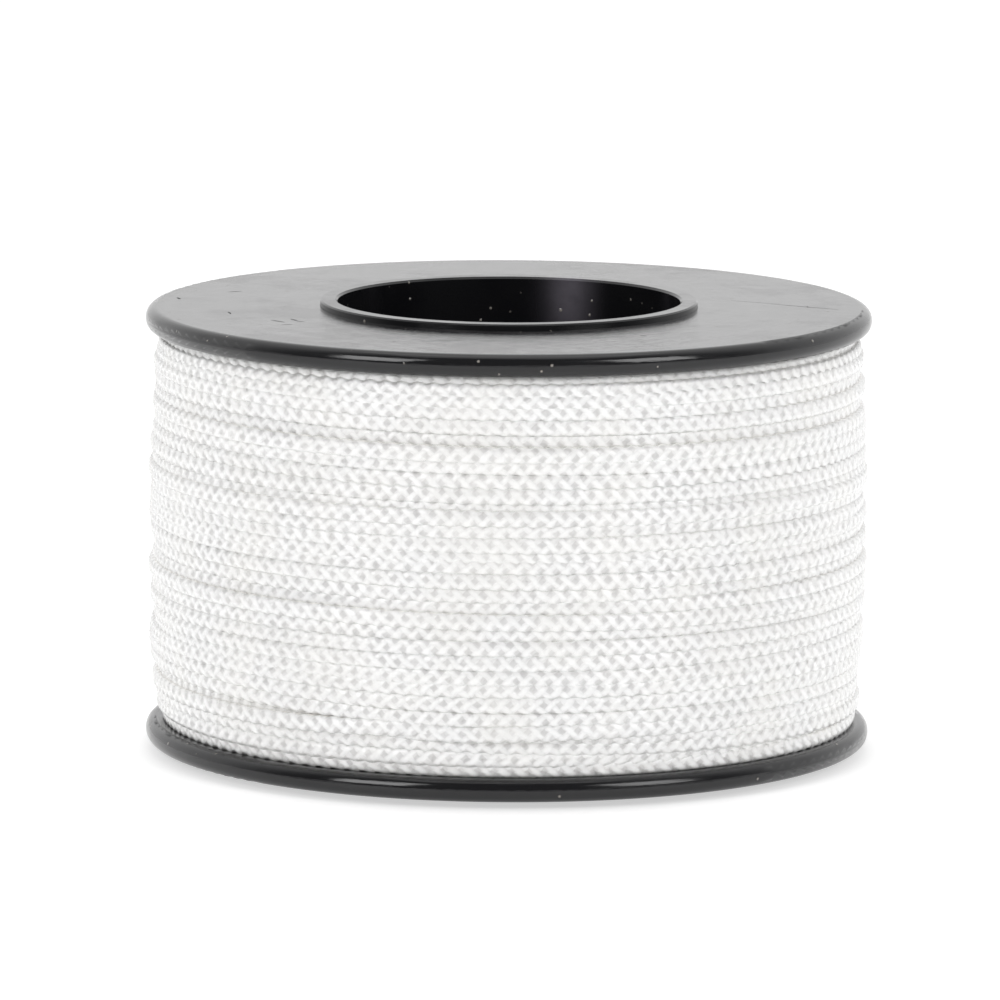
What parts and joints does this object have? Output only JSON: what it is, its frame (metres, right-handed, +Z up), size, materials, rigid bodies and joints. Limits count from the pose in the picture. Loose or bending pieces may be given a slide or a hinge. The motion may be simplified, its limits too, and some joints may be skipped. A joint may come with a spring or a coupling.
{
  "type": "string reel",
  "caption": "Small flanged plastic spool with an open bore, wound full with white braided utility cord.",
  "frame": {"origin": "centre of the spool's bottom, on the surface it stands on", "axes": "+Z up along the spool's axis"},
  "size_m": [0.0508, 0.0508, 0.0316],
  "materials": {
    "spool_plastic": "moulded black plastic, glossy with fine scuffs",
    "braided_cord": "white round braid, slightly glossy filaments"
  },
  "bodies": {
    "root": {"barrel": "spool_plastic", "lower_flange": "spool_plastic", "upper_flange": "spool_plastic", "wound_cord": "braided_cord"}
  },
  "joints": []
}
